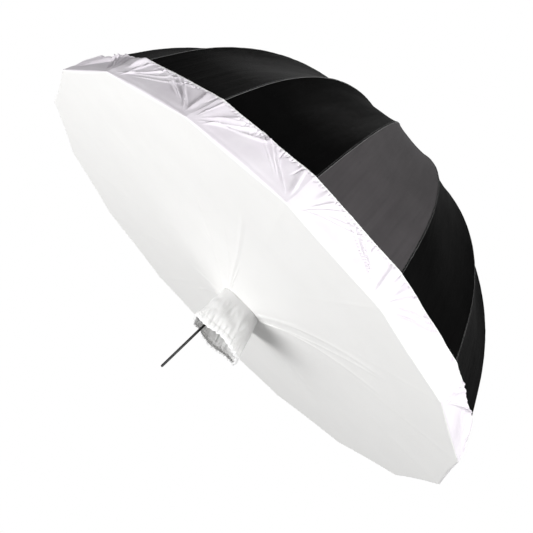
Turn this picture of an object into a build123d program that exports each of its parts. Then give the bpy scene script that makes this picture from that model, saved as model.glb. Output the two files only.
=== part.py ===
from build123d import *
import math
import os

# Deep umbrella reflector with a white front diffuser. Millimetres.
# The shaft lies along Y: the mouth faces -Y, the crown is at the +Y end, +Z is up.
# The origin is on the shaft axis, in the middle of the free stretch that a lamp bracket clamps.
# Rib 1 lies towards +X. The ribs follow it every 22.5 degrees, turning from +X towards -Z.

# ---- driving dimensions: the whole umbrella
RIBS = 16
STEP = 360 / RIBS
RIM_R = 825.0  # corner radius of the canopy's rim
RIM_Y = 270.0  # plane of the rim
MAIN_R = 817.0  # bend radius of the canopy's profile from the crown out to MAIN_END
MAIN_END = 62.0  # profile angle, in degrees from the crown, where the flatter skirt begins
SKIRT_END = 68.0  # profile angle at the rim
CLOTH = 0.8  # thickness of the canopy
SEAM_GAP = 0.2  # from a rib's plane to the edge of each panel beside it
PANEL_IN_R = 6.5  # where the panels start, round the shaft

# ---- shaft
SHAFT_R = 4.0
SHAFT_WALL = 0.8
CLAMP_LENGTH = 150.0
GROOVE_DEPTH = 0.35
GROOVE_WIDTH = 1.5
SHAFT_TOP_Y = 945.0
END_CAP_R = 3.6
END_CAP_THICK = 4.0
CORE_LENGTH = 156.0  # the end cap's core, which keeps a lamp bracket's screw from crushing the tube
FIT = 0.05  # radial clearance of parts pressed or pinned on the shaft
RUN_FIT = 0.08  # radial clearance of the runner on the shaft

# ---- hinge rings: sixteen eyes threaded on one wire
RING_R = 15.0
WIRE_R = 0.78
EYE_HOLE_R = 0.88
EYE_R = 2.1
EYE_THICK = 2.4
SLOT_WIDTH = 2.9
SLOT_CLEAR = 0.6
HUB_R = 18.5
CORE_R = 11.2
FIN_LENGTH = 7.5
ROOF = 1.0

# ---- ribs
ROD_R = 2.0
RIB_INSET = 4.0  # from the canopy's outer surface in to the rod's centre
ROD_START_R = 26.0
SOCKET_R = 2.75
SOCKET_LENGTH = 16.0
SOCKET_BORE_R = 2.1
TIP_R = 2.9
TIP_LENGTH = 14.0
TIP_GAP = 1.0

# ---- rib clips and stretchers
CLIP_ANGLE = 24.0  # profile angle of the stretcher joint
CLIP_DROP = 16.0  # from the rod's centre in to the stretcher joint
CLIP_R = 2.7
CLIP_LENGTH = 16.0
EAR_INNER = 1.1
EAR_OUTER = 1.9
EAR_ROOT = 5.0
EAR_R = 3.2
RIVET_R = 2.1
RIVET_HEIGHT = 0.9
BLADE_THICK = 1.6
BLADE_R = 2.6
BLADE_HOLE_R = 1.3
CHANNEL_WIDTH = 4.0
CHANNEL_HEIGHT = 3.8
CHANNEL_WALL = 0.7
CHANNEL_END = 12.0  # from each joint to the end of the channel

# ---- crown, runner, catch and cap
CROWN_Y = 920.5  # plane of the crown's hinge ring
RUNNER_Y = 500.0  # plane of the runner's hinge ring, canopy open
RUNNER_GRIP_R = 8.0
RUNNER_GRIP_LENGTH = 55.0
RUNNER_LIP_R = 10.5
RUNNER_LIP_THICK = 4.0
CATCH_WIDTH = 2.4
CATCH_LENGTH = 16.0
CATCH_TOP_Z = 6.4
CATCH_TOE_Z = 3.7
CATCH_FLOOR_Z = -0.4
CATCH_GAP = 0.4
CATCH_SLOT_WIDTH = 3.0
CATCH_SLOT_LENGTH = 20.0
CAP_BASE_R = 13.0
CAP_BASE_THICK = 1.6
CAP_TOP_R = 5.6
CAP_TOP_Y = 951.0
CAP_LIFT = 0.35

# ---- diffuser
FACE_Y = 262.0  # front of the white face
FACE_THICK = 1.0
FACE_R = 829.5
BAND_WALL = 1.0
HEM_Y = 375.0
HEM_R = 783.0
ELASTIC_WIDTH = 5.0
ELASTIC_THICK = 2.5
SLEEVE_END_Y = 80.0
SLEEVE_WIDTH = 196.0
SLEEVE_BASE_HEIGHT = 150.0
SLEEVE_END_HEIGHT = 164.0
SLEEVE_TOP_Z = 32.0
SLEEVE_WALL = 1.2
SLEEVE_CORNER = 45.0

# ---- derived: the canopy's profile in a rib's plane, r outwards and y along the shaft
SIN_MAIN = math.sin(math.radians(MAIN_END))
COS_MAIN = math.cos(math.radians(MAIN_END))
SIN_RIM = math.sin(math.radians(SKIRT_END))
COS_RIM = math.cos(math.radians(SKIRT_END))
SKIRT_R = (RIM_R - MAIN_R * SIN_MAIN) / (SIN_RIM - SIN_MAIN)
MAIN_CENTRE_R = 0.0
MAIN_CENTRE_Y = RIM_Y - SKIRT_R * COS_RIM + (SKIRT_R - MAIN_R) * COS_MAIN
SKIRT_CENTRE_R = MAIN_CENTRE_R - (SKIRT_R - MAIN_R) * SIN_MAIN
SKIRT_CENTRE_Y = MAIN_CENTRE_Y - (SKIRT_R - MAIN_R) * COS_MAIN


def profile_point(angle, inset):
    """A point of the canopy's profile, moved in by inset, at an angle in degrees from the crown."""
    s, c = math.sin(math.radians(angle)), math.cos(math.radians(angle))
    if angle <= MAIN_END:
        return MAIN_CENTRE_R + (MAIN_R - inset) * s, MAIN_CENTRE_Y + (MAIN_R - inset) * c
    return SKIRT_CENTRE_R + (SKIRT_R - inset) * s, SKIRT_CENTRE_Y + (SKIRT_R - inset) * c


def profile_arcs(start_r, end_angle, inset, across=0.0):
    """The two arcs of the profile from radius start_r to end_angle, in a plane offset by across."""
    start_angle = math.degrees(math.asin(start_r / (MAIN_R - inset)))
    edges = []
    for first, last in ((start_angle, MAIN_END), (MAIN_END, end_angle)):
        points = [profile_point(a, inset) for a in (first, (first + last) / 2, last)]
        edges.append(ThreePointArc(*[(r, y, across) for r, y in points]))
    return edges


def turned(shape, index):
    """A part of the rib at +X, turned to the rib with that index, counted from 0."""
    return shape.rotate(Axis.Y, index * STEP)


def disc(radius, y_from, y_to):
    """A solid cylinder on the shaft axis."""
    plane = Plane(origin=(0, y_from, 0), x_dir=(1, 0, 0), z_dir=(0, 1, 0))
    return extrude(plane * Circle(radius), y_to - y_from)


def plate(points, z_from, z_to):
    """A flat plate in a rib's plane, from its outline."""
    face = make_face(Polyline(*points, close=True))
    return Pos(0, 0, z_from) * extrude(face, z_to - z_from)


def upright(centre, radius, z_from, z_to):
    """A cylinder across a rib's plane."""
    return Pos(centre[0], centre[1], z_from) * extrude(Circle(radius), z_to - z_from)


def rod_between(start, end, radius):
    """A round bar between two points of a rib's plane."""
    a, b = Vector(*start, 0), Vector(*end, 0)
    plane = Plane(origin=a, z_dir=(b - a).normalized())
    return extrude(plane * Circle(radius), (b - a).length)


def arm(start, end, half_height, z_half):
    """A flat bar in a rib's plane with square ends."""
    a, b = Vector(*start), Vector(*end)
    side = Vector(-(b - a).Y, (b - a).X).normalized() * half_height
    corners = [a + side, b + side, b - side, a - side]
    return plate([(p.X, p.Y) for p in corners], -z_half, z_half)


def along(start, end, distance):
    """The point that lies that far from start on the way to end."""
    a, b = Vector(*start), Vector(*end)
    p = a + (b - a).normalized() * distance
    return p.X, p.Y


# ---- the shaft and what is fixed on it
def make_shaft():
    end_y = -CLAMP_LENGTH / 2
    tube = disc(SHAFT_R, end_y, SHAFT_TOP_Y) - disc(SHAFT_R - SHAFT_WALL, end_y, SHAFT_TOP_Y)
    groove_y = CLAMP_LENGTH / 2
    groove = disc(SHAFT_R + 1, groove_y, groove_y + GROOVE_WIDTH)
    groove -= disc(SHAFT_R - GROOVE_DEPTH, groove_y, groove_y + GROOVE_WIDTH)
    slot_top = RUNNER_Y - ROOF - EYE_R - SLOT_CLEAR - RUNNER_GRIP_LENGTH + 1
    slot = Pos(0, slot_top - CATCH_SLOT_LENGTH / 2, SHAFT_R) * Box(
        CATCH_SLOT_WIDTH, CATCH_SLOT_LENGTH, SHAFT_R * 2
    )
    return tube - groove - slot


def make_end_cap():
    end_y = -CLAMP_LENGTH / 2
    head = disc(END_CAP_R, end_y - END_CAP_THICK, end_y)
    head = fillet(head.edges().group_by(Axis.Y)[0], 1.5)
    return head + disc(SHAFT_R - SHAFT_WALL - FIT, end_y, end_y + CORE_LENGTH)


def make_hub(y_ring, towards):
    """The slotted head of the crown or runner. Its slots open outwards and towards the given side."""
    back = y_ring - towards * (EYE_R + SLOT_CLEAR + ROOF)
    front = y_ring + towards * FIN_LENGTH
    hub = disc(HUB_R, min(back, front), max(back, front))
    floor = y_ring - towards * (EYE_R + SLOT_CLEAR)
    past = front + towards
    for index in range(RIBS):
        outline = [(CORE_R, floor), (HUB_R + 2, floor), (HUB_R + 2, past), (CORE_R, past)]
        hub -= turned(plate(outline, -SLOT_WIDTH / 2, SLOT_WIDTH / 2), index)
    wire_way = disc(HUB_R + 1, y_ring - WIRE_R - FIT, y_ring + WIRE_R + FIT)
    wire_way -= disc(RING_R - WIRE_R - FIT, y_ring - 2, y_ring + 2)
    return hub - wire_way, back


def make_ring_wire(y_ring):
    turned_up = Plane(origin=(0, y_ring, 0), z_dir=(0, 1, 0))
    return turned_up * Torus(RING_R, WIRE_R)


def make_crown():
    hub, top = make_hub(CROWN_Y, -1)
    return hub - disc(SHAFT_R + FIT, CROWN_Y - 20, top + 1)


def make_cap():
    base_y = MAIN_CENTRE_Y + MAIN_R + CAP_LIFT
    base = disc(CAP_BASE_R, base_y, base_y + CAP_BASE_THICK)
    base = fillet(base.edges().group_by(Axis.Y)[-1], 0.7)
    low = Plane(origin=(0, base_y + CAP_BASE_THICK, 0), z_dir=(0, 1, 0)) * Circle(CAP_BASE_R * 0.62)
    high = Plane(origin=(0, CAP_TOP_Y, 0), z_dir=(0, 1, 0)) * Circle(CAP_TOP_R)
    cone = loft([low, high])
    cone = fillet(cone.edges().group_by(Axis.Y)[-1], 2.5)
    return base + cone - disc(SHAFT_R + FIT, base_y - 1, SHAFT_TOP_Y + 0.5)


# ---- the runner and its catch
def runner_foot():
    return RUNNER_Y - ROOF - EYE_R - SLOT_CLEAR - RUNNER_GRIP_LENGTH


def make_runner():
    hub, back = make_hub(RUNNER_Y, 1)
    grip = disc(RUNNER_GRIP_R, runner_foot(), back)
    lip = disc(RUNNER_LIP_R, runner_foot(), runner_foot() + RUNNER_LIP_THICK)
    lip = fillet(lip.edges(), 1.2)
    return hub + grip + lip - disc(SHAFT_R + RUN_FIT, runner_foot() - 1, RUNNER_Y + 20)


def make_catch():
    stop_y = runner_foot() - CATCH_GAP
    outline = [
        (stop_y, CATCH_FLOOR_Z),
        (stop_y, CATCH_TOP_Z),
        (stop_y - 2, CATCH_TOP_Z),
        (stop_y - CATCH_LENGTH, CATCH_TOE_Z),
        (stop_y - CATCH_LENGTH, CATCH_FLOOR_Z),
    ]
    face = make_face(Polyline(*[(0, y, z) for y, z in outline], close=True))
    return Pos(-CATCH_WIDTH / 2, 0, 0) * extrude(face, CATCH_WIDTH, dir=(1, 0, 0))


# ---- one rib, made in the plane of the rib at +X
def clip_joint():
    """Where the stretcher's end sits when the canopy is open."""
    return profile_point(CLIP_ANGLE, RIB_INSET + CLIP_DROP)


def make_rod():
    arcs = profile_arcs(ROD_START_R, SKIRT_END, RIB_INSET)
    path = Wire(arcs)
    start = Plane(origin=path @ 0, z_dir=path % 0)
    return sweep(start * Circle(ROD_R), path=path)


def make_socket():
    """The metal end that joins the rod to the crown's ring: a tube with a flat eye."""
    crown_joint = (RING_R, CROWN_Y)
    start = profile_point(math.degrees(math.asin(ROD_START_R / (MAIN_R - RIB_INSET))), RIB_INSET)
    end_r = ROD_START_R + SOCKET_LENGTH
    end = profile_point(math.degrees(math.asin(end_r / (MAIN_R - RIB_INSET))), RIB_INSET)
    back = along(start, end, -1.5)
    tube = rod_between(back, end, SOCKET_R) - rod_between(start, end, SOCKET_BORE_R)
    eye = arm(crown_joint, back, EYE_R, EYE_THICK / 2)
    eye += upright(crown_joint, EYE_R, -EYE_THICK / 2, EYE_THICK / 2)
    return eye + tube - upright(crown_joint, EYE_HOLE_R, -EYE_THICK, EYE_THICK)


def make_clip():
    """The folded metal clip on the rod, with two ears that the stretcher's end sits between."""
    half = math.degrees(CLIP_LENGTH / 2 / MAIN_R)
    root = [profile_point(CLIP_ANGLE + side * half, RIB_INSET) for side in (-1, 1)]
    near, far = along(*root, CLIP_LENGTH / 2 - EAR_ROOT), along(*root, CLIP_LENGTH / 2 + EAR_ROOT)
    joint = clip_joint()
    aim = Vector(*root[1]) - Vector(*root[0])
    side = aim.normalized() * EAR_R
    tip_near, tip_far = Vector(*joint) - side, Vector(*joint) + side
    outline = [near, far, (tip_far.X, tip_far.Y), (tip_near.X, tip_near.Y)]
    clip = rod_between(*root, CLIP_R)
    for z_from, z_to in ((EAR_INNER, EAR_OUTER), (-EAR_OUTER, -EAR_INNER)):
        clip += plate(outline, z_from, z_to) + upright(joint, EAR_R, z_from, z_to)
    return clip - rod_between(along(*root, -1), along(*root, CLIP_LENGTH + 1), SOCKET_BORE_R)


def make_rivet_heads():
    joint = clip_joint()
    heads = []
    for z_from, z_to in ((EAR_OUTER, EAR_OUTER + RIVET_HEIGHT), (-EAR_OUTER - RIVET_HEIGHT, -EAR_OUTER)):
        heads.append(upright(joint, RIVET_R, z_from, z_to))
    return heads


def make_tip():
    """The moulded tip that holds the canopy's corner."""
    end = profile_point(SKIRT_END, RIB_INSET)
    back_angle = SKIRT_END - math.degrees(TIP_LENGTH / SKIRT_R)
    back = profile_point(back_angle, RIB_INSET)
    front = along(back, end, TIP_LENGTH + TIP_GAP)
    ball = Pos(front[0], front[1], 0) * Sphere(TIP_R)
    body = rod_between(back, front, TIP_R) + ball
    return body - rod_between(along(back, end, -1), along(back, end, TIP_LENGTH + 0.2), SOCKET_BORE_R)


def make_stretcher():
    """A pressed channel with a flat eye at the runner and a thin blade at the rib's clip."""
    foot, head = (RING_R, RUNNER_Y), clip_joint()
    length = (Vector(*head) - Vector(*foot)).length
    low, high = along(foot, head, CHANNEL_END), along(foot, head, length - CHANNEL_END)
    bar = arm(low, high, CHANNEL_HEIGHT / 2, CHANNEL_WIDTH / 2)
    groove_low, groove_high = along(foot, head, CHANNEL_END + 4), along(foot, head, length - CHANNEL_END - 4)
    groove = arm(groove_low, groove_high, CHANNEL_HEIGHT / 2, CHANNEL_WIDTH / 2 - CHANNEL_WALL)
    inward = Vector(high[1] - low[1], low[0] - high[0]).normalized() * CHANNEL_WALL
    bar -= Pos(inward.X, inward.Y, 0) * groove
    eye = arm(foot, along(foot, head, CHANNEL_END + 2), EYE_R, EYE_THICK / 2)
    eye += upright(foot, EYE_R, -EYE_THICK / 2, EYE_THICK / 2)
    blade = arm(along(foot, head, length - CHANNEL_END - 2), head, BLADE_R, BLADE_THICK / 2)
    blade += upright(head, BLADE_R, -BLADE_THICK / 2, BLADE_THICK / 2)
    whole = bar + eye + blade
    whole -= upright(foot, EYE_HOLE_R, -EYE_THICK, EYE_THICK)
    return whole - upright(head, BLADE_HOLE_R, -BLADE_THICK, BLADE_THICK)


# ---- one canopy panel, between the rib at +X and the next
def make_panel():
    faces = []
    for index, across in ((0, -SEAM_GAP), (1, SEAM_GAP)):
        outer = profile_arcs(PANEL_IN_R, SKIRT_END, 0, across)
        inner = profile_arcs(PANEL_IN_R, SKIRT_END, CLOTH, across)
        rim = Line(outer[1] @ 1, inner[1] @ 1)
        centre = Line(inner[0] @ 0, outer[0] @ 0)
        outline = Wire([outer[0], outer[1], rim, inner[1], inner[0], centre])
        faces.append(turned(Face(outline), index))
    return loft(faces, ruled=True)


# ---- the diffuser
def polygon_at(corner_r, y):
    """A sixteen-sided face across the shaft, with a corner at each rib."""
    points = []
    for index in range(RIBS):
        angle = math.radians(index * STEP)
        points.append((corner_r * math.cos(angle), y, -corner_r * math.sin(angle)))
    return Face(Wire.make_polygon(points))


def sleeve_outline(y, height, inset):
    """The sleeve's rounded section. Its top stays level, so that the sleeve hangs from the shaft."""
    plane = Plane(origin=(0, y, SLEEVE_TOP_Z - height / 2), x_dir=(1, 0, 0), z_dir=(0, -1, 0))
    outline = RectangleRounded(
        SLEEVE_WIDTH - 2 * inset, height - 2 * inset, SLEEVE_CORNER - inset
    )
    return plane * outline


def make_diffuser_face():
    face = extrude(polygon_at(FACE_R, FACE_Y), FACE_THICK, dir=(0, 1, 0))
    hole = extrude(sleeve_outline(FACE_Y - 1, SLEEVE_BASE_HEIGHT, SLEEVE_WALL), 4, dir=(0, 1, 0))
    return face - hole


def make_diffuser_band():
    front_y = FACE_Y + FACE_THICK
    outer = loft([polygon_at(FACE_R, front_y), polygon_at(HEM_R, HEM_Y)], ruled=True)
    inner = loft(
        [polygon_at(FACE_R - BAND_WALL, front_y), polygon_at(HEM_R - BAND_WALL, HEM_Y)], ruled=True
    )
    return outer - inner


def make_hem_elastic():
    ring = extrude(polygon_at(HEM_R, HEM_Y), ELASTIC_WIDTH, dir=(0, 1, 0))
    return ring - extrude(polygon_at(HEM_R - ELASTIC_THICK, HEM_Y), ELASTIC_WIDTH, dir=(0, 1, 0))


def make_sleeve():
    walls = []
    for inset in (0, SLEEVE_WALL):
        base = sleeve_outline(FACE_Y, SLEEVE_BASE_HEIGHT, inset)
        end = sleeve_outline(SLEEVE_END_Y, SLEEVE_END_HEIGHT, inset)
        walls.append(loft([base, end], ruled=True))
    return walls[0] - walls[1]


def main():
    os.makedirs("parts", exist_ok=True)
    nodes = {
        "shaft_tube": make_shaft(),
        "shaft_end_cap": make_end_cap(),
        "crown": make_crown(),
        "crown_ring_wire": make_ring_wire(CROWN_Y),
        "ferrule_cap": make_cap(),
        "runner": make_runner(),
        "runner_ring_wire": make_ring_wire(RUNNER_Y),
        "catch_spring": make_catch(),
        "diffuser_face": make_diffuser_face(),
        "diffuser_band": make_diffuser_band(),
        "diffuser_sleeve": make_sleeve(),
        "hem_elastic": make_hem_elastic(),
    }
    rib_pieces = [make_rod(), make_socket(), make_clip(), *make_rivet_heads(), make_tip()]
    stretcher = make_stretcher()
    panel = make_panel()
    for index in range(RIBS):
        number = f"{index + 1:02d}"
        nodes[f"rib_{number}"] = Compound(
            children=[turned(Solid(piece.solids()[0].wrapped), index) for piece in rib_pieces]
        )
        nodes[f"stretcher_{number}"] = turned(stretcher, index)
        nodes[f"canopy_panel_{number}"] = turned(panel, index)
    for name, shape in nodes.items():
        export_step(shape, f"parts/{name}.step")


main()
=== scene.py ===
import math
import random

import bpy
import numpy as np
from mathutils import Matrix, Vector, noise


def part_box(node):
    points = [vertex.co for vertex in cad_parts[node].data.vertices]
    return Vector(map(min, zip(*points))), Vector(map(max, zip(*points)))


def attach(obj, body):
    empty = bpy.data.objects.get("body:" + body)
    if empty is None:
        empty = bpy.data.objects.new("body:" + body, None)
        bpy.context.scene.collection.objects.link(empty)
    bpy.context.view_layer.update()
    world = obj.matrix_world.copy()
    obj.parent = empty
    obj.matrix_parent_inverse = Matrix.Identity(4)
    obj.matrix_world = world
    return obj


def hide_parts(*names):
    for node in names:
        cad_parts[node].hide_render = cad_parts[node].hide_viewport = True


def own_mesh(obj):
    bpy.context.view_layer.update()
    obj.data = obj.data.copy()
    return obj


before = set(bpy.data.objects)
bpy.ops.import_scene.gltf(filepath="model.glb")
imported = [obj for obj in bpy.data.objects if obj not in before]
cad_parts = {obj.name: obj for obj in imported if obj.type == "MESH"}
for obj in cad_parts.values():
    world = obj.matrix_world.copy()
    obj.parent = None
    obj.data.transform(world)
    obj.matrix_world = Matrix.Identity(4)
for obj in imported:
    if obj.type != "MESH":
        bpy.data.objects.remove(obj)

# Looks of a deep umbrella reflector with a white front diffuser. Metres.
# The shaft lies along Y: the mouth faces -Y and the crown is at the +Y end.
# Rib 1 points to +X, and the ribs follow it every 22.5 degrees, turning from +X towards -Z.

# ---- the whole umbrella
RIBS = 16
STEP = math.tau / RIBS
HALF = STEP / 2
MAIN_R = 0.817  # bend radius of the canopy's profile, from the crown out to MAIN_END
MAIN_END = math.radians(62)  # profile angle from the crown where the flatter skirt begins
SKIRT_END = math.radians(68)  # profile angle at the rim
ROD_INSET = 0.004  # from the canopy's outer surface in to the centre of a rib's rod
GREY_GORE = 1  # number of the one charcoal gore

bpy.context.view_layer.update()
panel_low, panel_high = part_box("canopy_panel_01")
face_low, face_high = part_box("diffuser_face")
sleeve_low, sleeve_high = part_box("diffuser_sleeve")
RIM_R, RIM_Y = panel_high.x, panel_low.y
FACE_R, FACE_Y = face_high.x, face_low.y
HEM_R, HEM_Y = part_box("hem_elastic")[1].x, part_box("diffuser_band")[1].y
SLEEVE_HALF_W, SLEEVE_TOP = sleeve_high.x, sleeve_high.z

# ---- derived: the two arcs of the canopy's profile in a rib's plane
SKIRT_R = (RIM_R - MAIN_R * math.sin(MAIN_END)) / (math.sin(SKIRT_END) - math.sin(MAIN_END))
MAIN_Y = RIM_Y - SKIRT_R * math.cos(SKIRT_END) + (SKIRT_R - MAIN_R) * math.cos(MAIN_END)
SKIRT_CENTRE_R = -(SKIRT_R - MAIN_R) * math.sin(MAIN_END)
SKIRT_CENTRE_Y = MAIN_Y - (SKIRT_R - MAIN_R) * math.cos(MAIN_END)
PANEL_IN_R = 0.0068  # where the gores start, round the ferrule cap
PROFILE_START = math.asin(PANEL_IN_R / MAIN_R)


def profile_point(angle, inset=0.0):
    """(r, y) on the canopy's profile, moved in by inset, at an angle from the crown."""
    s, c = math.sin(angle), math.cos(angle)
    if angle <= MAIN_END:
        return (MAIN_R - inset) * s, MAIN_Y + (MAIN_R - inset) * c
    return SKIRT_CENTRE_R + (SKIRT_R - inset) * s, SKIRT_CENTRE_Y + (SKIRT_R - inset) * c


def spoke(angle):
    """Unit vector outwards from the shaft at an angle turning from +X towards -Z."""
    return Vector((math.cos(angle), 0, -math.sin(angle)))


def tangent(angle):
    """Unit vector round the shaft, in the direction of growing angle."""
    return Vector((-math.sin(angle), 0, -math.cos(angle)))


def smooth(t):
    t = min(1.0, max(0.0, t))
    return t * t * (3 - 2 * t)


def smooth_all(t):
    """The same as smooth, over an array."""
    t = np.clip(t, 0.0, 1.0)
    return t * t * (3 - 2 * t)


# ---- materials
WEAVE_DEPTH = 0.0003
CREASE_DEPTH = 0.004
FOLD_DEPTH = 0.014
ALONG_CLOTH = (1.0, 0.13, 1.0)  # stretches a texture along a cloth's own second direction


class Shader:
    """A node material with a Principled BSDF, and short ways to add textures to it."""

    def __init__(self, name, **settings):
        self.material = bpy.data.materials.new(name)
        self.material.use_nodes = True
        self.tree = self.material.node_tree
        self.surface = self.tree.nodes["Principled BSDF"]
        self.place = self.tree.nodes.new("ShaderNodeTexCoord")
        for key, value in settings.items():
            self.surface.inputs[key.replace("_", " ")].default_value = value

    def node(self, kind, links=(), **settings):
        made = self.tree.nodes.new("ShaderNode" + kind)
        for key, value in settings.items():
            if key in made.inputs:
                made.inputs[key].default_value = value
            else:
                setattr(made, key, value)
        for socket, source in links:
            self.tree.links.new(source, made.inputs[socket])
        return made

    def noise(self, scale, detail=3.0, roughness=0.55, source="Object", stretch=None):
        where = self.place.outputs[source]
        if stretch:
            where = self.node("Mapping", [("Vector", where)], Scale=stretch).outputs[0]
        made = self.node("TexNoise", [("Vector", where)], Scale=scale, Detail=detail, Roughness=roughness)
        return made.outputs["Fac"]

    def ramp(self, value, stops):
        """Colours along a value, from (place, colour) stops."""
        made = self.node("ValToRGB", [("Fac", value)])
        elements = made.color_ramp.elements
        while len(elements) < len(stops):
            elements.new(0.5)
        for element, (at, colour) in zip(elements, stops):
            element.position = at
            element.color = (*colour, 1)
        return made.outputs["Color"]

    def weave(self, pitch):
        """The height of a plain weave with threads a pitch apart, on the cloth's own UV in metres."""
        split = self.node("SeparateXYZ", [("Vector", self.place.outputs["UV"])])
        waves = []
        for axis in ("X", "Y"):
            turn = self.node("Math", [(0, split.outputs[axis])], operation="MULTIPLY")
            turn.inputs[1].default_value = math.tau / pitch
            waves.append(self.node("Math", [(0, turn.outputs[0])], operation="SINE").outputs[0])
        both = self.node("Math", [(0, waves[0]), (1, waves[1])], operation="MULTIPLY")
        return both.outputs[0]

    def bump(self, height, strength, distance, under=None):
        links = [("Height", height)]
        if under is not None:
            links.append(("Normal", under))
        made = self.node("Bump", links, Strength=strength, Distance=distance)
        return made.outputs["Normal"]

    def set(self, socket, source):
        self.tree.links.new(source, self.surface.inputs[socket])


def grey(level, red=1.0, blue=1.0):
    return (level * red, level, level * blue)


def cloth_shader(name, dark, light, weave_pitch, weave_bump, crease_bump, folds=0.0, **settings):
    """Woven cloth: mottled between two colours, with a thread pattern, small creases and long soft folds."""
    shader = Shader(name, **settings)
    shader.set("Base Color", shader.ramp(shader.noise(9.0), [(0.3, dark), (0.72, light)]))
    relief = shader.bump(shader.noise(26.0, 4.0), crease_bump, CREASE_DEPTH)
    if folds:
        lengthwise = shader.noise(24.0, 2.0, source="UV", stretch=ALONG_CLOTH)
        relief = shader.bump(lengthwise, folds, FOLD_DEPTH, relief)
    shader.set("Normal", shader.bump(shader.weave(weave_pitch), weave_bump, WEAVE_DEPTH, relief))
    return shader.material


def metal_shader(name, dark, light, stretch, scale, rough_low, rough_high, bump, **settings):
    """Drawn or painted metal: streaks along its length, and roughness that varies with wear."""
    shader = Shader(name, **settings)
    streaks = shader.noise(scale, 5.0, stretch=stretch)
    shader.set("Base Color", shader.ramp(streaks, [(0.3, dark), (0.7, light)]))
    rough = shader.ramp(shader.noise(40.0), [(0.3, grey(rough_low)), (0.7, grey(rough_high))])
    shader.set("Roughness", rough)
    shader.set("Normal", shader.bump(streaks, bump, 0.0004))
    return shader.material


def plastic_shader(name, dark, light, grain, **settings):
    """Moulded plastic: a fine grain, and scuffs that lighten it a little."""
    shader = Shader(name, **settings)
    shader.set("Base Color", shader.ramp(shader.noise(60.0, 5.0), [(0.35, dark), (0.75, light)]))
    shader.set("Normal", shader.bump(shader.noise(grain, 2.0), 0.25, 0.0002))
    return shader.material


ALONG_SHAFT = (1.0, 0.03, 1.0)
BLACK_CLOTH = cloth_shader(
    "canopy_black_nylon", grey(0.0014), grey(0.0028), 0.0012, 0.25, 0.12, folds=0.22,
    Roughness=0.5, Specular_IOR_Level=0.016,
)
GREY_CLOTH = cloth_shader(
    "canopy_charcoal_nylon", grey(0.044, 1.08, 1.04), grey(0.054, 1.08, 1.04), 0.0012, 0.25, 0.12,
    folds=0.6,
    Roughness=0.5, Specular_IOR_Level=0.12,
)
SILVER_LINING = cloth_shader(
    "canopy_silver_lining", grey(0.62), grey(0.76), 0.0016, 0.35, 0.2,
    Metallic=0.55, Roughness=0.42, Specular_IOR_Level=0.5,
)
SEAM_TAPE = cloth_shader(
    "canopy_seam_tape", grey(0.002), grey(0.004), 0.0010, 0.3, 0.1,
    Roughness=0.5, Specular_IOR_Level=0.05,
)
# Pale grey thread, lighter than the tape: partly the thread's own colour, partly a painted highlight that
# draws a light line along each seam.
PALE_THREAD_AND_PAINTED_HIGHLIGHT = cloth_shader(
    "stitch_thread_and_painted_highlight", grey(0.15), grey(0.22), 0.0006, 0.5, 0.1,
    Roughness=0.5, Specular_IOR_Level=0.3,
)
WHITE_CLOTH = cloth_shader(
    "diffuser_white_satin", grey(0.835, 1.004, 0.988), grey(0.855, 1.004, 0.988), 0.0011, 0.15, 0.04,
    Roughness=0.6, Specular_IOR_Level=0.3, Sheen_Weight=0.12, Sheen_Roughness=0.5,
)
SLEEVE_CLOTH = cloth_shader(
    "diffuser_sleeve_voile", grey(0.80, 1.004, 0.988), grey(0.85, 1.004, 0.988), 0.0012, 0.2, 0.25,
    folds=0.15,
    Roughness=0.6, Specular_IOR_Level=0.3, Subsurface_Weight=0.5, Subsurface_Scale=0.003,
    Subsurface_Radius=(1.0, 1.0, 1.0),
)
# The band is the face's white cloth, coloured darker and lavender-grey: painted shade, standing in for the
# black canopy showing through it and for the shade it lies in.
BAND_CLOTH_PAINTED_SHADE = cloth_shader(
    "diffuser_band_satin_painted_shade", (0.72, 0.68, 0.73), (0.81, 0.78, 0.82), 0.0011, 0.15, 0.08,
    Roughness=0.6, Specular_IOR_Level=0.12,
)
HEM_CLOTH = cloth_shader(
    "diffuser_hem_satin", grey(0.86), grey(0.92), 0.0008, 0.2, 0.1,
    Roughness=0.5, Specular_IOR_Level=0.35, Sheen_Weight=0.2, Sheen_Roughness=0.4,
)
SHAFT_PAINT = metal_shader(
    "shaft_graphite_enamel", grey(0.018), grey(0.026), ALONG_SHAFT, 120.0, 0.40, 0.46, 0.02,
    Metallic=0.3, Specular_IOR_Level=0.4,
)
ROD_GLOSS = metal_shader(
    "rib_fibreglass", grey(0.010), grey(0.022), (1.0, 0.25, 1.0), 90.0, 0.28, 0.45, 0.15,
    Specular_IOR_Level=0.5, Coat_Weight=0.3, Coat_Roughness=0.2,
)
FITTING_STEEL = metal_shader(
    "rib_fitting_steel", grey(0.33), grey(0.47), (1.0, 1.0, 1.0), 150.0, 0.25, 0.45, 0.2,
    Metallic=1.0, Specular_IOR_Level=0.5,
)
STRETCHER_ENAMEL = metal_shader(
    "stretcher_black_enamel", grey(0.014), grey(0.030), (1.0, 0.3, 1.0), 120.0, 0.30, 0.5, 0.15,
    Metallic=0.4, Specular_IOR_Level=0.5, Coat_Weight=0.2, Coat_Roughness=0.25,
)
WIRE_STEEL = metal_shader(
    "ring_wire_steel", grey(0.40), grey(0.55), (1.0, 1.0, 1.0), 400.0, 0.2, 0.35, 0.15,
    Metallic=1.0, Specular_IOR_Level=0.5,
)
SPRING_STEEL = metal_shader(
    "catch_spring_steel", grey(0.28), grey(0.42), ALONG_SHAFT, 500.0, 0.22, 0.4, 0.2,
    Metallic=1.0, Specular_IOR_Level=0.5,
)
BLACK_PLASTIC = plastic_shader(
    "moulded_black_nylon", grey(0.012), grey(0.026), 1400.0, Roughness=0.42, Specular_IOR_Level=0.45
)


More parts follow.
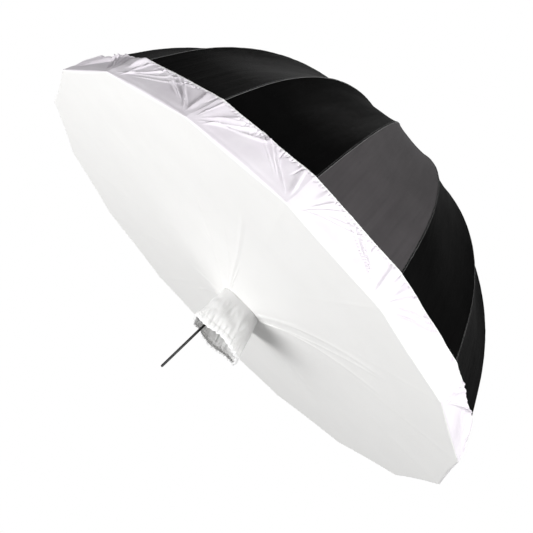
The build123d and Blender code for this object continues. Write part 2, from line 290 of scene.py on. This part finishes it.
# ---- mesh making
def new_piece(name, points, faces, materials, uvs=None, face_material=None, normals=None):
    mesh = bpy.data.meshes.new(name)
    mesh.from_pydata([tuple(p) for p in points], [], faces)
    for material in materials:
        mesh.materials.append(material)
    mesh.polygons.foreach_set("use_smooth", [True] * len(faces))
    if face_material is not None:
        mesh.polygons.foreach_set("material_index", face_material)
    if uvs is not None:
        layer = mesh.uv_layers.new(name="cloth")
        corners = np.zeros(len(mesh.loops), np.int32)
        mesh.loops.foreach_get("vertex_index", corners)
        layer.data.foreach_set("uv", np.asarray(uvs, np.float32)[corners].ravel())
    mesh.update()
    if normals is not None:
        mesh.normals_split_custom_set_from_vertices([tuple(n) for n in normals])
    piece = bpy.data.objects.new(name, mesh)
    bpy.context.scene.collection.objects.link(piece)
    return piece


def grid_faces(across, along, flip=False, wrap=False):
    """Quads of a grid whose points are numbered across first: index = j * columns + i."""
    columns = across if wrap else across + 1
    faces = []
    for j in range(along):
        for i in range(across):
            k = (i + 1) % columns
            quad = (j * columns + i, j * columns + k, (j + 1) * columns + k, (j + 1) * columns + i)
            faces.append(quad[::-1] if flip else quad)
    return faces


def thicken(piece, thickness, material_inside):
    """Gives a cloth its thickness towards the inside, with the lining as its inner face."""
    made = piece.modifiers.new("cloth_thickness", "SOLIDIFY")
    made.thickness = thickness
    made.offset = -1
    made.use_even_offset = False
    made.material_offset = material_inside
    made.material_offset_rim = 0
    return piece


# ---- the canopy
CLOTH_THICK = 0.0006
SEAM_HALF = 0.0003  # from a rib's plane to the edge of the gore beside it
GORE_ACROSS = 36
GORE_ALONG = 110
SAG_SHARE = 2.3  # how far a gore is drawn in, against a saddle as curved across as along
SKIRT_SAG = 0.22  # share of that left at the rim
SAG_FADE = math.radians(44)  # where a gore begins to straighten towards the hem that presses on it
PUCKER_DEPTH = 0.0006
PUCKER_REACH = 0.008  # how far from a seam its puckers die out
DRAG_DEPTH = 0.0030
SOFT_DEPTH = 0.0022
WIDE_GORE = 0.2  # width at which a gore is free to take its full drag lines
profile_angles = np.linspace(PROFILE_START, SKIRT_END, GORE_ALONG + 1)


def gore_width(angle):
    return 2 * profile_point(angle)[0] * math.sin(HALF)


def gore_sag(angle):
    """How far the middle of a gore lies inside the straight line between its two ribs."""
    width = gore_width(angle)
    straightened = smooth((angle - SAG_FADE) / (MAIN_END - SAG_FADE))
    share = SAG_SHARE * (1 - (1 - SKIRT_SAG) * straightened)
    return share * width * width / (8 * MAIN_R)


def gore_drape(number, angle, u):
    """Small outward lift of the cloth: puckers beside the seams and long soft drag lines."""
    edge = min(u, 1 - u) * gore_width(angle)
    along = MAIN_R * angle
    puckers = noise.noise(Vector((along * 62, number * 7.3, 1.0))) * math.exp(-edge / PUCKER_REACH)
    drag = noise.noise(Vector((u * 3.1 + along * 1.9, along * 0.9, number * 3.7)))
    soft = noise.noise(Vector((u * 2.0, along * 5.0, number * 9.1 + 4)))
    free = 4 * u * (1 - u) * (DRAG_DEPTH * drag + SOFT_DEPTH * soft)
    return PUCKER_DEPTH * puckers + free * smooth(gore_width(angle) / WIDE_GORE)


def gore_point(number, angle, u):
    """A point of a gore's outer face. u runs from the gore's own rib, 0, to the next, 1."""
    r, y = profile_point(angle)
    first, second = spoke((number - 1) * STEP), spoke(number * STEP)
    middle = spoke((number - 0.5) * STEP)
    gap = tangent((number - 0.5) * STEP) * SEAM_HALF * (1 - 2 * u)
    s, c = math.sin(angle), math.cos(angle)
    depth = gore_sag(angle) * 4 * u * (1 - u) - gore_drape(number, angle, u)
    inward = middle * s + Vector((0, c, 0))
    return (first * (1 - u) + second * u) * r + Vector((0, y, 0)) + gap - inward * depth


def make_gore(number):
    points, uvs = [], []
    for angle in profile_angles:
        for i in range(GORE_ACROSS + 1):
            u = 0.5 - 0.5 * math.cos(math.pi * i / GORE_ACROSS)
            points.append(gore_point(number, angle, u))
            uvs.append(((u - 0.5) * gore_width(angle), MAIN_R * angle))
    faces = grid_faces(GORE_ACROSS, GORE_ALONG, flip=True)
    outer = GREY_CLOTH if number == GREY_GORE else BLACK_CLOTH
    gore = new_piece(f"canopy_gore_{number:02d}", points, faces, [outer, SILVER_LINING], uvs)
    thicken(gore, CLOTH_THICK, 1)
    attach(gore, f"rib_{number:02d}")
    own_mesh(gore)
    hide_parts(f"canopy_panel_{number:02d}")
    return gore


# ---- the seam over each rib: a felled tape with a row of stitches down each side
TAPE_HALF = 0.0026
TAPE_HEIGHT = 0.0006
TAPE_ROWS = 150
TAPE_START = math.asin(0.014 / MAIN_R)  # just outside the ferrule cap
TAPE_END = SKIRT_END - math.radians(0.05)
TAPE_FACE = 0.00008  # from the gores' outer faces up to the tape's edge
TAPE_BACK = 0.00004  # and to its underside
STITCH_SIDE = 0.72  # place of a row of stitches, as a share of the tape's half width
STITCH_PITCH = 0.0042
STITCH_LENGTH = 0.0030
STITCH_R = 0.00028
PAINTED_HIGHLIGHT_STRIP = 4  # strip of the tape's section that takes the pale thread's colour: a painted highlight along one edge of the seam
TAPE_SECTION = ((-1.0, 0.0), (-0.92, 0.75), (-0.5, 1.0), (0.0, 0.82), (0.5, 1.0), (0.92, 0.75), (1.0, 0.0))


def beside_rib(number, angle, across, height):
    """A point of the canopy's surface beside a rib, which lies on the gore on that side."""
    width = max(gore_width(angle), 1e-6)
    side = min(0.5, abs(across) / width)
    if across >= 0:
        point = gore_point(number, angle, side)
    else:
        point = gore_point((number - 2) % RIBS + 1, angle, 1 - side)
    outward = spoke((number - 1) * STEP) * math.sin(angle) + Vector((0, math.cos(angle), 0))
    return point + outward * height


def make_seam(number):
    """The seam tape over a rib, and its stitches."""
    points = []
    for j in range(TAPE_ROWS + 1):
        angle = TAPE_START + (TAPE_END - TAPE_START) * j / TAPE_ROWS
        half = min(TAPE_HALF, gore_width(angle) * 0.42)
        for side, height in TAPE_SECTION:
            points.append(beside_rib(number, angle, side * half, TAPE_FACE + TAPE_HEIGHT * height))
        for side, _ in reversed(TAPE_SECTION[1:-1]):
            points.append(beside_rib(number, angle, side * half, TAPE_BACK))
    columns = 2 * len(TAPE_SECTION) - 2
    faces = grid_faces(columns, TAPE_ROWS, flip=True, wrap=True)
    faces.append(tuple(range(columns)))
    faces.append(tuple(range(TAPE_ROWS * columns + columns - 1, TAPE_ROWS * columns - 1, -1)))
    # Faces of kind 1 take the pale thread: the stitches, and one strip along the tape as a painted
    # highlight.
    kinds = [0] * len(faces)
    kinds[PAINTED_HIGHLIGHT_STRIP:TAPE_ROWS * columns:columns] = [1] * TAPE_ROWS
    for angle in np.arange(TAPE_START + 0.02, TAPE_END - 0.004, STITCH_PITCH / MAIN_R):
        for side in (-STITCH_SIDE, STITCH_SIDE):
            add_stitch(points, faces, number, angle, side * TAPE_HALF)
    kinds += [1] * (len(faces) - len(kinds))
    seam = new_piece(f"canopy_seam_{number:02d}", points, faces, [SEAM_TAPE, PALE_THREAD_AND_PAINTED_HIGHLIGHT], None, kinds)
    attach(seam, f"rib_{number:02d}")
    return seam


def add_stitch(points, faces, number, angle, across):
    """One stitch: a short thread that rises out of the tape and dips back into it."""
    base = len(points)
    half = STITCH_LENGTH / 2 / MAIN_R
    for share, lift in ((-1.0, 0.3), (-0.5, 1.0), (0.5, 1.0), (1.0, 0.3)):
        for turn in range(4):
            a = math.tau * turn / 4
            height = TAPE_HEIGHT + STITCH_R * (lift + math.sin(a) - 0.4)
            points.append(beside_rib(number, angle + half * share, across + STITCH_R * math.cos(a), height))
    for row in range(3):
        here = base + row * 4
        for turn in range(4):
            after = (turn + 1) % 4
            faces.append((here + turn, here + after, here + 4 + after, here + 4 + turn))
    faces.append((base + 3, base + 2, base + 1, base))
    faces.append((base + 12, base + 13, base + 14, base + 15))


# ---- the diffuser: one stretched sheet over the mouth, which turns over the rim into a gathered band
SECTORS = 2 * RIBS
SECTOR_ACROSS = 96
FACE_ROWS = 44
ROUND_ROWS = 6
BAND_ROWS = 34
ROLL_ROWS = 6
CREASE_R = 0.0025  # radius of the turn from face to band at a rib's tip
CREASE_SOFT = 0.0045  # how much larger that radius is half-way between two ribs
ROLL_R = 0.0022  # radius of the hem casing
BULGE = 0.052  # how far the sleeve's weight draws the face forwards round its opening
BULGE_REACH = 0.40
SLEEVE_CORNER = 0.045
SEED = 11
BAND_DIRECTION = Vector((HEM_R - FACE_R, HEM_Y - FACE_Y)).normalized()
BAND_NORMAL = Vector((BAND_DIRECTION.y, -BAND_DIRECTION.x))
BAND_LENGTH = Vector((HEM_R - FACE_R, HEM_Y - FACE_Y)).length
TURN = math.acos(BAND_DIRECTION.x)
PUFF = 0.0042  # how far the cloth stands out beside the hem between two gathers
RIPPLE = 0.00035
SLACK = 0.0008  # how far the face strays from flat
RIB_PRINT = 0.0005  # how far a stretcher's end shows through the face
SLEEVE_BASE_H = 0.138
HEM_TURN = math.pi * 1.15


def opening_radius(angle):
    """From the shaft axis to the edge of the sleeve's rounded opening, in one direction."""
    bottom = SLEEVE_TOP - SLEEVE_BASE_H
    low, high = 0.0, 0.3
    for _ in range(40):
        middle = (low + high) / 2
        x, z = abs(math.cos(angle) * middle), -math.sin(angle) * middle
        dz = max(z - (SLEEVE_TOP - SLEEVE_CORNER), (bottom + SLEEVE_CORNER) - z)
        dx = x - (SLEEVE_HALF_W - SLEEVE_CORNER)
        if dx > 0 and dz > 0:
            inside = math.hypot(dx, dz) < SLEEVE_CORNER
        else:
            inside = x < SLEEVE_HALF_W and bottom < z < SLEEVE_TOP
        low, high = (middle, high) if inside else (low, middle)
    return low


def rim_share(angle):
    """How far the straight edge of a sixteen-sided outline lies out in one direction, 1 at a corner."""
    local = angle % STEP
    return math.cos(HALF) / math.cos(local - HALF)


class Folds:
    """The folds of one stretch of band, from rib to rib: drags from its corners, and gathers at its hem."""

    def __init__(self, number):
        draw = random.Random(SEED * 100 + number)
        self.drags = []
        for index in range(draw.randint(9, 13)):
            side = index % 2
            lean = 1 - 2 * side
            start = side + lean * draw.uniform(0.0, 0.12)
            end = side + lean * draw.uniform(0.06, 0.85)
            rise = draw.uniform(0.0, 0.45)
            height, width = draw.uniform(0.0026, 0.0072), draw.uniform(0.010, 0.028)
            self.drags.append((start, end, rise, height, width, draw.choice((-1, 1))))
        self.gathers = []
        place = 0.0
        while place < 1.0:
            reach = draw.uniform(0.10, 0.22) if draw.random() < 0.7 else draw.uniform(0.25, 0.5)
            depth, width = draw.uniform(0.0028, 0.0056), draw.uniform(0.007, 0.011)
            self.gathers.append((place, reach, depth, width, draw.uniform(-0.10, 0.10)))
            place += draw.uniform(0.020, 0.042)
        self.waves = []
        for _ in range(5):
            self.waves.append((draw.uniform(4, 15), draw.uniform(2, 7), draw.uniform(0, 6.3)))

    def lift(self, u, t):
        """How far the band stands out at u between the ribs, over an array t from rim, 0, to hem, 1."""
        total = np.zeros(len(t))
        for start, end, rise, height, width, steep in self.drags:
            grown = smooth_all((t - rise) / 0.3)
            d = (u - start - (end - start) * t ** 1.3) / (width * (0.4 + 1.1 * t))
            d *= np.where(d * steep > 0, 2.0, 0.8)
            total += height * grown * np.exp(-d * d)
        total *= 1 - 0.9 * smooth_all((t - 0.84) / 0.16)
        for across, along, phase in self.waves:
            total += RIPPLE * (1 + np.sin(across * u + along * t + phase)) * smooth_all(t * 5)
        gathered = PUFF * smooth_all((t - 0.5) / 0.4)
        for place, reach, depth, width, lean in self.gathers:
            d = np.abs(u - place - lean * (1 - t)) / width
            gathered -= depth * smooth_all((t - 1 + reach) / (0.6 * reach)) * np.exp(-d ** 1.5)
        gathered *= 1 - 0.85 * smooth_all((t - 0.92) / 0.08)
        return np.maximum(0.0, total + gathered)


FOLDS = [Folds(number) for number in range(1, RIBS + 1)]


def face_creases():
    """Creases of the face, which fan out from the corners of the sleeve's base."""
    draw = random.Random(SEED)
    corners = ((SLEEVE_HALF_W, SLEEVE_TOP), (SLEEVE_HALF_W, SLEEVE_TOP - SLEEVE_BASE_H))
    creases = []
    for x, z in corners + tuple((-x, z) for x, z in corners):
        corner = math.atan2(-z, x)
        for _ in range(7):
            at = corner + draw.gauss(0.0, 0.24)
            reach, height = draw.uniform(0.14, 0.5), draw.uniform(0.0006, 0.0018)
            creases.append((at, draw.uniform(-0.3, 0.3), reach, height, draw.uniform(0.003, 0.008)))
    return creases


FACE_CREASES = face_creases()


def face_lift(angle, r, inner, outer):
    """How far the face stands forwards of its plane, over an array r."""
    total = BULGE * np.maximum(0.0, 1 - (r - inner) / BULGE_REACH) ** 2
    share = (r - inner) / (outer - inner)
    local = (angle % STEP) / STEP
    from_rib = min(local, 1 - local) * STEP * r
    total += RIB_PRINT * np.exp(-((from_rib / 0.010) ** 2)) * smooth_all((share - 0.2) / 0.5)
    for at, bend, reach, height, width in FACE_CREASES:
        turned = (angle - at + math.pi) % math.tau - math.pi
        off = (turned - bend * (r - inner)) * r / (width * (0.6 + 2.5 * (r - inner)))
        ends = smooth_all((r - inner) / 0.02) * smooth_all((inner + reach - r) / 0.1)
        total += height * np.exp(-off * off) * ends
    x, z = r * math.cos(angle), -r * math.sin(angle)
    slack = np.sin(7.1 * x + 3.3 * z + 1.0) * np.sin(5.3 * z - 2.2 * x) + 0.6 * np.sin(17 * x - 11 * z)
    total += SLACK * slack * smooth_all(share * 5) * smooth_all((1 - share) * 6)
    return total


def diffuser_column(angle):
    """The points of the diffuser in one direction, from the sleeve's opening out and over to the hem."""
    u = (angle % STEP) / STEP
    crease = CREASE_R + CREASE_SOFT * 4 * u * (1 - u)
    back = crease * math.tan(TURN / 2)
    inner, edge = opening_radius(angle), rim_share(angle)
    outer = FACE_R * edge - back
    share = np.sin(0.5 * math.pi * np.linspace(0, 1, FACE_ROWS + 1)) ** 1.15
    face_r = inner + (outer - inner) * share
    face_y = FACE_Y - face_lift(angle, face_r, inner, outer)
    bend = TURN * np.arange(1, ROUND_ROWS) / ROUND_ROWS
    round_r, round_y = outer + crease * np.sin(bend), FACE_Y + crease * (1 - np.cos(bend))
    t = np.linspace(0, 1, BAND_ROWS + 1)
    distance = back + (BAND_LENGTH - back) * t
    lift = FOLDS[int(angle / STEP) % RIBS].lift(u, t) * smooth_all(t * 8)
    band_r = (FACE_R + BAND_DIRECTION.x * distance) * edge + BAND_NORMAL.x * lift
    band_y = FACE_Y + BAND_DIRECTION.y * distance + BAND_NORMAL.y * lift
    bend = HEM_TURN * np.arange(1, ROLL_ROWS + 1) / ROLL_ROWS
    roll = ROLL_R * (np.cos(bend) - 1), ROLL_R * np.sin(bend)
    roll_r = band_r[-1] + BAND_NORMAL.x * roll[0] + BAND_DIRECTION.x * roll[1]
    roll_y = band_y[-1] + BAND_NORMAL.y * roll[0] + BAND_DIRECTION.y * roll[1]
    r = np.concatenate((face_r, round_r, band_r, roll_r))
    y = np.concatenate((face_y, round_y, band_y, roll_y))
    return np.stack((r * math.cos(angle), y, -r * math.sin(angle)), axis=1)


def vertex_normals(points, wrap_columns):
    """Smooth normals of the whole ring, so that the sectors meet without a visible line."""
    grid = np.array(points).reshape(-1, wrap_columns, 3)
    around = np.roll(grid, -1, 1) - np.roll(grid, 1, 1)
    out = np.gradient(grid, axis=0)
    normals = np.cross(around, out)
    return normals / np.maximum(np.linalg.norm(normals, axis=2, keepdims=True), 1e-12)


def make_diffuser():
    """The face and band in one sheet, cut into sectors."""
    columns = SECTORS * SECTOR_ACROSS
    grid = np.stack([diffuser_column(i * math.tau / columns) for i in range(columns)], axis=1)
    rows = len(grid)
    normals = vertex_normals(grid, columns)
    lengths = np.concatenate(
        [np.zeros((1, columns)), np.cumsum(np.linalg.norm(np.diff(grid, axis=0), axis=2), axis=0)]
    )
    band_from, hem_from = FACE_ROWS + ROUND_ROWS // 2, rows - 1 - ROLL_ROWS - 2
    # Rows of kind 1, the band, take the band cloth, whose darker colour is painted shade.
    row_kinds = [0 if j < band_from else 1 if j < hem_from else 2 for j in range(rows - 1)]
    kinds = np.repeat(row_kinds, SECTOR_ACROSS).tolist()
    sectors = []
    for sector in range(SECTORS):
        picked = [(sector * SECTOR_ACROSS + i) % columns for i in range(SECTOR_ACROSS + 1)]
        points = grid[:, picked].reshape(-1, 3)
        middle_angle = (sector + 0.5) * math.tau / SECTORS
        side = tangent(middle_angle)
        uvs = [(Vector(p).dot(side), s) for p, s in zip(points, lengths[:, picked].ravel())]
        piece = new_piece(
            f"diffuser_sector_{sector + 1:02d}", points, grid_faces(SECTOR_ACROSS, rows - 1),
            [WHITE_CLOTH, BAND_CLOTH_PAINTED_SHADE, HEM_CLOTH], uvs, kinds, normals[:, picked].reshape(-1, 3),
        )
        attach(piece, "diffuser")
        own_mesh(piece)
        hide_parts("diffuser_face", "diffuser_band", "hem_elastic")
        sectors.append(piece)
    return sectors


# ---- the sleeve that a lamp head goes through
SLEEVE_AROUND = 400
SLEEVE_ROWS = 60
SLEEVE_LIP_ROWS = 8
SLEEVE_THICK = 0.0006
SLEEVE_CENTRE_Z = SLEEVE_TOP - 0.078
SLEEVE_FLAT = (0.66, 0.19)
MOUTH_BOTTOM = sleeve_low.z - 0.012
MOUTH_CORNER = 0.056
LIP_R = 0.0035
LIP_TURN = math.pi * 1.3
MOUTH_Y = sleeve_low.y + 0.012
CASING_FROM = 0.86  # share of the sleeve's length where the drawcord casing is stitched


def rounded_outline(share, half_w, top, bottom, corner):
    """A point round a rounded rectangle: share 0 to 1 from the middle of its +X side, bottom first."""
    wide, tall = half_w - corner, (top - bottom) / 2 - corner
    arc = math.pi / 2 * corner
    centre_z = (top + bottom) / 2
    walk = (share % 1.0) * 4 * (wide + tall + arc)
    if walk < tall:
        return half_w, centre_z - walk
    walk -= tall
    corners = ((wide, -tall), (-wide, -tall), (-wide, tall), (wide, tall))
    for side, (x, z) in enumerate(corners):
        a = math.pi / 2 * side + min(walk, arc) / corner
        x += corner * math.cos(a)
        z += centre_z - corner * math.sin(a)
        walk -= arc
        if walk < 0:
            return x, z
        straight = (2 * wide, 2 * tall, 2 * wide, tall)[side]
        if walk < straight:
            return x - walk * math.sin(a), z - walk * math.cos(a)
        walk -= straight
    return half_w, centre_z


def sleeve_point(share, t):
    """A point of the sleeve, t from its base, 0, to its mouth, 1."""
    base = rounded_outline(share, SLEEVE_HALF_W, SLEEVE_TOP, SLEEVE_TOP - SLEEVE_BASE_H, SLEEVE_CORNER)
    end = rounded_outline(share, SLEEVE_HALF_W * 0.98, SLEEVE_TOP, MOUTH_BOTTOM, MOUTH_CORNER)
    x = base[0] + (end[0] - base[0]) * t
    z = base[1] + (end[1] - base[1]) * t
    outward = (Vector((x, 0, z)) - Vector((0, 0, SLEEVE_CENTRE_Z))).normalized()
    around = Vector((math.cos(share * math.tau), math.sin(share * math.tau)))
    slump = noise.noise(Vector((around.x * 1.6, t * 3.4, around.y * 1.6)))
    creases = 1 - 2 * abs(noise.noise(Vector((around.x * 5, t * 2.6, around.y * 5 + 7))))
    gather = noise.noise(Vector((around.x * 16, t * 1.5, around.y * 16)))
    gather += 0.4 * math.sin(math.tau * share * 37)
    casing = smooth((t - CASING_FROM) / 0.03)
    pinch = math.exp(-((t - CASING_FROM) / 0.03) ** 2)
    lift = 0.007 * slump * smooth(t * 2.5) + 0.0022 * creases * smooth(t * 3)
    lift += 0.0030 * gather * smooth((t - 0.66) / 0.2) + 0.0008 * casing - 0.0010 * pinch
    y = FACE_Y - BULGE + (MOUTH_Y - (FACE_Y - BULGE)) * t
    y += (0.004 * math.sin(math.tau * share * 5 + 1) + 0.0022 * gather) * smooth((t - 0.7) / 0.3)
    return Vector((x, y, z)) + outward * lift


def make_sleeve():
    points, uvs = [], []
    rows = SLEEVE_ROWS + SLEEVE_LIP_ROWS
    for j in range(rows + 1):
        for i in range(SLEEVE_AROUND):
            share = i / SLEEVE_AROUND
            if j <= SLEEVE_ROWS:
                point = sleeve_point(share, j / SLEEVE_ROWS)
            else:
                last = sleeve_point(share, 1.0)
                inward = (Vector((0, last.y, SLEEVE_CENTRE_Z)) - last).normalized()
                bend = LIP_TURN * (j - SLEEVE_ROWS) / SLEEVE_LIP_ROWS
                point = last + inward * LIP_R * (1 - math.cos(bend)) - Vector((0, LIP_R * math.sin(bend), 0))
            points.append(point)
            uvs.append((share * SLEEVE_FLAT[0], j * 0.0032))
    kinds = []
    for j in range(rows):
        kinds += [0 if j < SLEEVE_ROWS - 2 else 1] * SLEEVE_AROUND
    faces = grid_faces(SLEEVE_AROUND, rows, wrap=True)
    sleeve = new_piece("diffuser_sleeve_cloth", points, faces, [SLEEVE_CLOTH, HEM_CLOTH], uvs, kinds)
    thicken(sleeve, SLEEVE_THICK, 0)
    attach(sleeve, "diffuser")
    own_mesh(sleeve)
    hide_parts("diffuser_sleeve")
    return sleeve


# ---- finishes of the CAD parts
def finish_node(name, material):
    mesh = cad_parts[name].data
    mesh.materials.clear()
    mesh.materials.append(material)
    return mesh


ROD_EDGE = 0.00206  # a little more than the rod's radius: what lies farther out is a fitting
TIP_SHARE = 0.9  # share of the rim's radius beyond which a fitting is the moulded tip


def finish_rib(number):
    """The rod is glossy fibreglass, and what is fitted on it is steel, but for its moulded tip."""
    mesh = finish_node(f"rib_{number:02d}", ROD_GLOSS)
    mesh.materials.append(FITTING_STEEL)
    mesh.materials.append(BLACK_PLASTIC)
    outward = spoke((number - 1) * STEP)
    side = tangent((number - 1) * STEP)
    for polygon in mesh.polygons:
        centre = polygon.center
        r, across = centre.dot(outward), centre.dot(side)
        if r > profile_point(MAIN_END)[0]:
            gone_r, gone_y = r - SKIRT_CENTRE_R, centre.y - SKIRT_CENTRE_Y
            off_rod = SKIRT_R - ROD_INSET - math.hypot(gone_r, gone_y)
        else:
            off_rod = MAIN_R - ROD_INSET - math.hypot(r, centre.y - MAIN_Y)
        if math.hypot(off_rod, across) > ROD_EDGE:
            polygon.material_index = 2 if r > RIM_R * TIP_SHARE else 1


def finish_cad():
    for name in ("shaft_end_cap", "crown", "ferrule_cap", "runner"):
        finish_node(name, BLACK_PLASTIC)
    finish_node("shaft_tube", SHAFT_PAINT)
    for name in ("crown_ring_wire", "runner_ring_wire"):
        finish_node(name, WIRE_STEEL)
    finish_node("catch_spring", SPRING_STEEL)
    for number in range(1, RIBS + 1):
        finish_node(f"stretcher_{number:02d}", STRETCHER_ENAMEL)
        finish_rib(number)


# ---- floor, backdrop, lights and camera
FLOOR_Z = -1.55
FLOOR_R = 30.0
BACKDROP_R = 60.0
AMBIENT = 0.36


def emission_material(name, strength):
    material = bpy.data.materials.new(name)
    material.use_nodes = True
    nodes, links = material.node_tree.nodes, material.node_tree.links
    nodes.clear()
    glow, out = nodes.new("ShaderNodeEmission"), nodes.new("ShaderNodeOutputMaterial")
    glow.inputs["Strength"].default_value = strength
    links.new(glow.outputs[0], out.inputs["Surface"])
    return material


def only_seen(piece):
    """The piece is seen directly, and neither lights nor shades anything."""
    piece.visible_diffuse = False
    piece.visible_glossy = False
    piece.visible_transmission = False
    piece.visible_shadow = False


def make_stage():
    white = emission_material("studio_white", 1.0)
    for name in ("floor", "backdrop"):
        if name == "floor":
            bpy.ops.mesh.primitive_circle_add(vertices=96, radius=FLOOR_R, fill_type="NGON")
            bpy.context.object.location = (0, 0, FLOOR_Z)
        else:
            bpy.ops.mesh.primitive_uv_sphere_add(segments=48, ring_count=24, radius=BACKDROP_R)
        piece = bpy.context.object
        piece.name = name
        piece.data.materials.append(white)
        only_seen(piece)
    world = bpy.data.worlds.new("studio")
    bpy.context.scene.world = world
    world.use_nodes = True
    world.node_tree.nodes["Background"].inputs["Color"].default_value = (1, 1, 1, 1)
    world.node_tree.nodes["Background"].inputs["Strength"].default_value = AMBIENT


def add_light(name, place, aim, size, power):
    data = bpy.data.lights.new(name, "AREA")
    data.shape = "DISK"
    data.size = size
    data.energy = power
    lamp = bpy.data.objects.new(name, data)
    lamp.location = place
    lamp.rotation_euler = (Vector(aim) - Vector(place)).to_track_quat("-Z", "Y").to_euler()
    lamp.visible_camera = False
    bpy.context.scene.collection.objects.link(lamp)


def make_lights():
    add_light("key_softbox", (3.4, 1.0, -2.1), (0.5, 0.35, -0.2), 0.8, 128)
    add_light("face_softbox", (1.7, -3.4, 2.0), (0.0, 0.27, 0.2), 3.6, 195)
    add_light("crown_softbox", (-1.6, 3.4, 1.8), (0.0, 0.7, 0.0), 1.6, 9)


CAMERA_AIM = Vector((0, 0.262, 0))
CAMERA_AZIMUTH = math.radians(73.79)
CAMERA_ELEVATION = math.radians(-4.67)
CAMERA_ROLL = math.radians(-45.26)
CAMERA_DISTANCE = 3.036
CAMERA_PAN = (0.0738, 0.0675)
CAMERA_LENS = 67.48


def make_camera():
    az, el, roll = CAMERA_AZIMUTH, CAMERA_ELEVATION, CAMERA_ROLL
    back = Vector((math.sin(az) * math.cos(el), -math.cos(az) * math.cos(el), math.sin(el)))
    level_right = (-back).cross(Vector((0, 0, 1))).normalized()
    level_up = level_right.cross(-back)
    right = level_right * math.cos(roll) + level_up * math.sin(roll)
    up = level_up * math.cos(roll) - level_right * math.sin(roll)
    data = bpy.data.cameras.new("camera")
    data.lens = CAMERA_LENS
    data.clip_start, data.clip_end = 0.05, 200.0
    camera = bpy.data.objects.new("camera", data)
    camera.matrix_world = Matrix.Translation(
        CAMERA_AIM + back * CAMERA_DISTANCE + right * CAMERA_PAN[0] + up * CAMERA_PAN[1]
    ) @ Matrix((right, up, back)).transposed().to_4x4()
    bpy.context.scene.collection.objects.link(camera)
    bpy.context.scene.camera = camera


# ---- the build
make_camera()
make_stage()
make_lights()
bpy.context.scene.view_settings.view_transform = "Standard"
finish_cad()

seams = {number: make_seam(number) for number in range(1, RIBS + 1)}
for number in range(1, RIBS + 1):
    make_gore(number)

for index, piece in enumerate(make_diffuser()):
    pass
make_sleeve()
